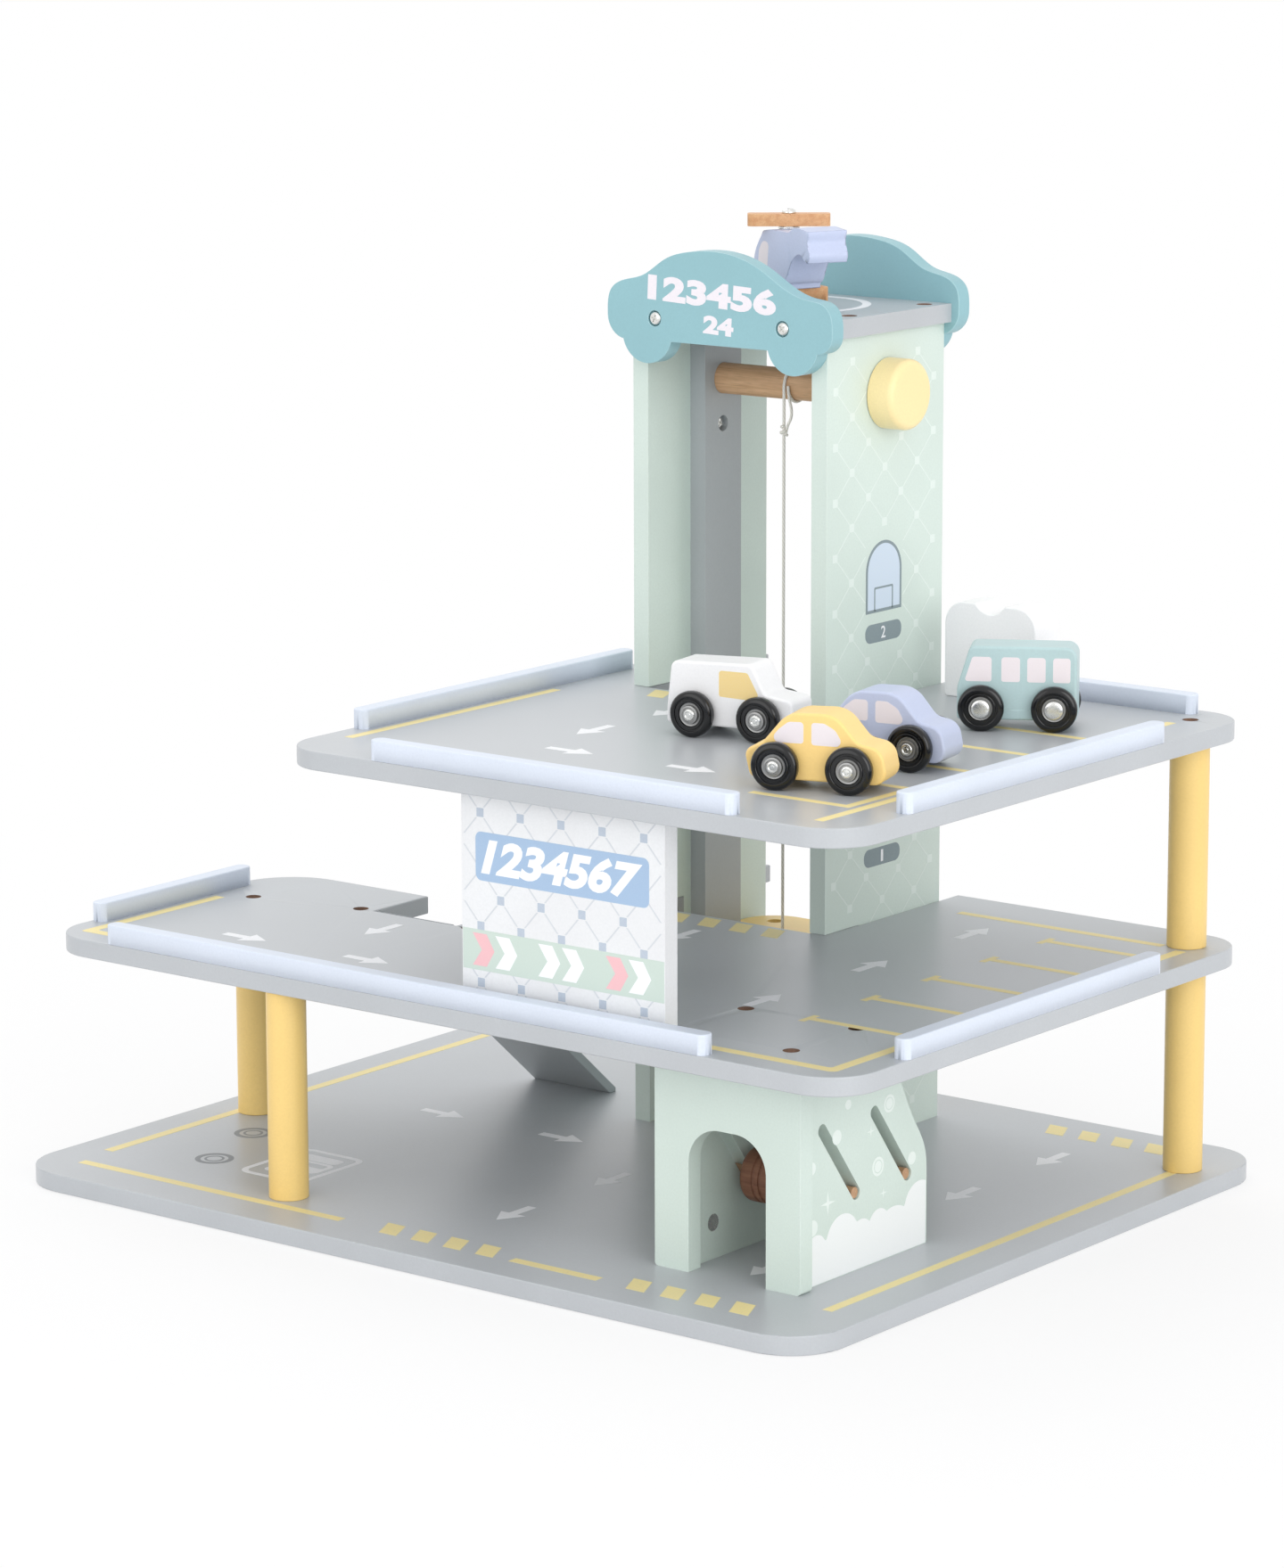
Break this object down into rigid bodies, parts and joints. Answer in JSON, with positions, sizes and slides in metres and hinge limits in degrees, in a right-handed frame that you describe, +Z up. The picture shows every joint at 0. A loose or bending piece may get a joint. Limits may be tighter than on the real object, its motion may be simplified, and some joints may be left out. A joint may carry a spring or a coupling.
{
  "type": "toy parking garage with lift",
  "caption": "Wooden toy parking garage with two decks on round pillars, ramp, roller car wash, hand-wound lift tower, helicopter and small vehicles.",
  "frame": {"origin": "middle of the ground floor board's underside", "axes": "+X along the front edge to the right, +Y to the back, +Z up"},
  "size_m": [0.5, 0.402, 0.4862],
  "materials": {
    "grey_board": "satin paint",
    "mint_panel": "satin paint",
    "grey_rail": "satin paint",
    "teal_sign": "satin paint",
    "yellow_paint": "satin paint",
    "pale_blue_paint": "satin paint",
    "white_panel": "satin paint",
    "beech": "oiled",
    "roller_wood": "matt",
    "cotton_cord": "twisted",
    "steel": "zinc plated",
    "lavender_paint": "satin paint",
    "yellow_car_paint": "satin paint",
    "white_paint": "satin paint",
    "teal_bus_paint": "satin paint",
    "black_wheel": "gloss"
  },
  "bodies": {
    "garage": {"base_board": "grey_board", "level_1_board": "grey_board", "level_2_board": "grey_board", "roof_board": "grey_board", "tower_wall_left": "mint_panel", "tower_wall_right": "mint_panel", "wash_front_arch": "mint_panel", "wash_wall_left": "mint_panel", "wash_wall_right": "mint_panel", "guide_rail_left": "grey_rail", "guide_rail_right": "grey_rail", "ramp": "grey_rail", "ramp_cleat": "grey_rail", "front_sign": "teal_sign", "rear_sign": "teal_sign", "pillar_front_left": "yellow_paint", "pillar_rear_left": "yellow_paint", "pillar_right_lower": "yellow_paint", "pillar_right_upper": "yellow_paint", "barrier_level_1_front": "pale_blue_paint", "barrier_level_1_left": "pale_blue_paint", "barrier_level_1_right": "pale_blue_paint", "barrier_level_2_front": "pale_blue_paint", "barrier_level_2_left": "pale_blue_paint", "barrier_level_2_right": "pale_blue_paint", "barrier_level_2_rear": "pale_blue_paint", "entry_panel": "white_panel", "lift_cord": "cotton_cord", "deck_screws": "steel", "rail_screws": "steel", "sign_screws": "steel", "wash_cross_nuts": "steel", "base_bolts": "steel"},
    "lift": {"lift_platform": "yellow_paint", "lift_batten": "grey_rail", "lift_screws": "steel"},
    "winder": {"winder_dowel": "beech", "winder_knob": "yellow_paint", "lift_cord_winding": "cotton_cord"},
    "wash_axle_front": {"wash_dowel_front": "beech"},
    "wash_brush_front": {"wash_roller_front": "roller_wood"},
    "wash_axle_rear": {"wash_dowel_rear": "beech"},
    "wash_brush_rear": {"wash_roller_rear": "roller_wood"},
    "helicopter": {"helicopter_body": "lavender_paint", "helicopter_skid": "beech", "helicopter_rotor_screw": "steel"},
    "rotor": {"helicopter_rotor": "beech"},
    "block": {"two_lobed_block": "white_paint"},
    "yellow_car": {"yellow_car_body": "yellow_car_paint"},
    "yellow_car_rear_axle": {"yellow_car_rear_wheels": "black_wheel"},
    "yellow_car_front_axle": {"yellow_car_front_wheels": "black_wheel"},
    "lavender_car": {"lavender_car_body": "lavender_paint"},
    "lavender_car_rear_axle": {"lavender_car_rear_wheels": "black_wheel"},
    "lavender_car_front_axle": {"lavender_car_front_wheels": "black_wheel"},
    "white_van": {"white_van_body": "white_paint"},
    "white_van_rear_axle": {"white_van_rear_wheels": "black_wheel"},
    "white_van_front_axle": {"white_van_front_wheels": "black_wheel"},
    "teal_bus": {"teal_bus_body": "teal_bus_paint"},
    "teal_bus_rear_axle": {"teal_bus_rear_wheels": "black_wheel"},
    "teal_bus_front_axle": {"teal_bus_front_wheels": "black_wheel"}
  },
  "joints": [
    {"name": "lift_slide", "type": "slide", "parent": "garage", "child": "lift", "axis": [0, 0, 1], "range_m": [-0.075, 0.137], "deforming": ["lift_cord"]},
    {"name": "winder_turn", "type": "hinge", "parent": "garage", "child": "winder", "pos_m": [0.0095, 0.113, 0.3968], "axis": [1, 0, 0], "range_deg": [-900, 500]},
    {"name": "wash_front_rise", "type": "slide", "parent": "garage", "child": "wash_axle_front", "axis": [0, -0.6021, 0.7984], "range_m": [0, 0.0445]},
    {"name": "wash_front_spin", "type": "hinge", "parent": "wash_axle_front", "child": "wash_brush_front", "pos_m": [0.16325, -0.0923, 0.0474], "axis": [1, 0, 0], "continuous": true},
    {"name": "wash_rear_rise", "type": "slide", "parent": "garage", "child": "wash_axle_rear", "axis": [0, -0.6021, 0.7984], "range_m": [0, 0.0445]},
    {"name": "wash_rear_spin", "type": "hinge", "parent": "wash_axle_rear", "child": "wash_brush_rear", "pos_m": [0.16325, -0.0502, 0.0474], "axis": [1, 0, 0], "continuous": true},
    {"name": "helicopter_take_off", "type": "slide", "parent": "garage", "child": "helicopter", "axis": [0, 0, 1], "range_m": [0, 0.06]},
    {"name": "rotor_spin", "type": "hinge", "parent": "helicopter", "child": "rotor", "pos_m": [0.0095, 0.112, 0.48], "axis": [0, 0, 1], "continuous": true},
    {"name": "block_pick_up", "type": "slide", "parent": "garage", "child": "block", "axis": [0, 0, 1], "range_m": [0, 0.05]},
    {"name": "yellow_car_roll", "type": "slide", "parent": "garage", "child": "yellow_car", "axis": [0.9549, 0.2969, 0], "range_m": [-0.05, 0.018]},
    {"name": "yellow_car_rear_wheels_turn", "type": "hinge", "parent": "yellow_car", "child": "yellow_car_rear_axle", "pos_m": [0.16321, -0.09933, 0.2525], "axis": [-0.2969, 0.9549, 0], "range_deg": [-360, 360]},
    {"name": "yellow_car_front_wheels_turn", "type": "hinge", "parent": "yellow_car", "child": "yellow_car_front_axle", "pos_m": [0.19797, -0.08853, 0.2525], "axis": [-0.2969, 0.9549, 0], "range_deg": [-360, 360]},
    {"name": "lavender_car_roll", "type": "slide", "parent": "garage", "child": "lavender_car", "axis": [0.9848, 0.1736, 0], "range_m": [-0.01, 0.02]},
    {"name": "lavender_car_rear_wheels_turn", "type": "hinge", "parent": "lavender_car", "child": "lavender_car_rear_axle", "pos_m": [0.15499, -0.03298, 0.2525], "axis": [-0.1736, 0.9848, 0], "range_deg": [-360, 360]},
    {"name": "lavender_car_front_wheels_turn", "type": "hinge", "parent": "lavender_car", "child": "lavender_car_front_axle", "pos_m": [0.19083, -0.02666, 0.2525], "axis": [-0.1736, 0.9848, 0], "range_deg": [-360, 360]},
    {"name": "white_van_roll", "type": "slide", "parent": "garage", "child": "white_van", "axis": [0.9865, 0.1638, 0], "range_m": [-0.06, 0.01]},
    {"name": "white_van_rear_wheels_turn", "type": "hinge", "parent": "white_van", "child": "white_van_rear_axle", "pos_m": [0.05517, -0.01815, 0.2525], "axis": [-0.1638, 0.9865, 0], "range_deg": [-360, 360]},
    {"name": "white_van_front_wheels_turn", "type": "hinge", "parent": "white_van", "child": "white_van_front_axle", "pos_m": [0.09108, -0.01219, 0.2525], "axis": [-0.1638, 0.9865, 0], "range_deg": [-360, 360]},
    {"name": "teal_bus_roll", "type": "slide", "parent": "garage", "child": "teal_bus", "axis": [-0.8684, -0.4959, 0], "range_m": [-0.015, 0.05]},
    {"name": "teal_bus_front_wheels_turn", "type": "hinge", "parent": "teal_bus", "child": "teal_bus_front_axle", "pos_m": [0.15433, 0.07816, 0.2525], "axis": [0.4959, -0.8684, 0], "range_deg": [-360, 360]},
    {"name": "teal_bus_rear_wheels_turn", "type": "hinge", "parent": "teal_bus", "child": "teal_bus_rear_axle", "pos_m": [0.18567, 0.09607, 0.2525], "axis": [0.4959, -0.8684, 0], "range_deg": [-360, 360]}
  ],
  "couplings": [
    {"joint": "winder_turn", "follows": "lift_slide", "rad_per_m": -113.64},
    {"joint": "yellow_car_rear_wheels_turn", "follows": "yellow_car_roll", "rad_per_m": 86.957},
    {"joint": "yellow_car_front_wheels_turn", "follows": "yellow_car_roll", "rad_per_m": 86.957},
    {"joint": "lavender_car_rear_wheels_turn", "follows": "lavender_car_roll", "rad_per_m": 86.957},
    {"joint": "lavender_car_front_wheels_turn", "follows": "lavender_car_roll", "rad_per_m": 86.957},
    {"joint": "white_van_rear_wheels_turn", "follows": "white_van_roll", "rad_per_m": 86.957},
    {"joint": "white_van_front_wheels_turn", "follows": "white_van_roll", "rad_per_m": 86.957},
    {"joint": "teal_bus_front_wheels_turn", "follows": "teal_bus_roll", "rad_per_m": 86.957},
    {"joint": "teal_bus_rear_wheels_turn", "follows": "teal_bus_roll", "rad_per_m": 86.957}
  ]
}
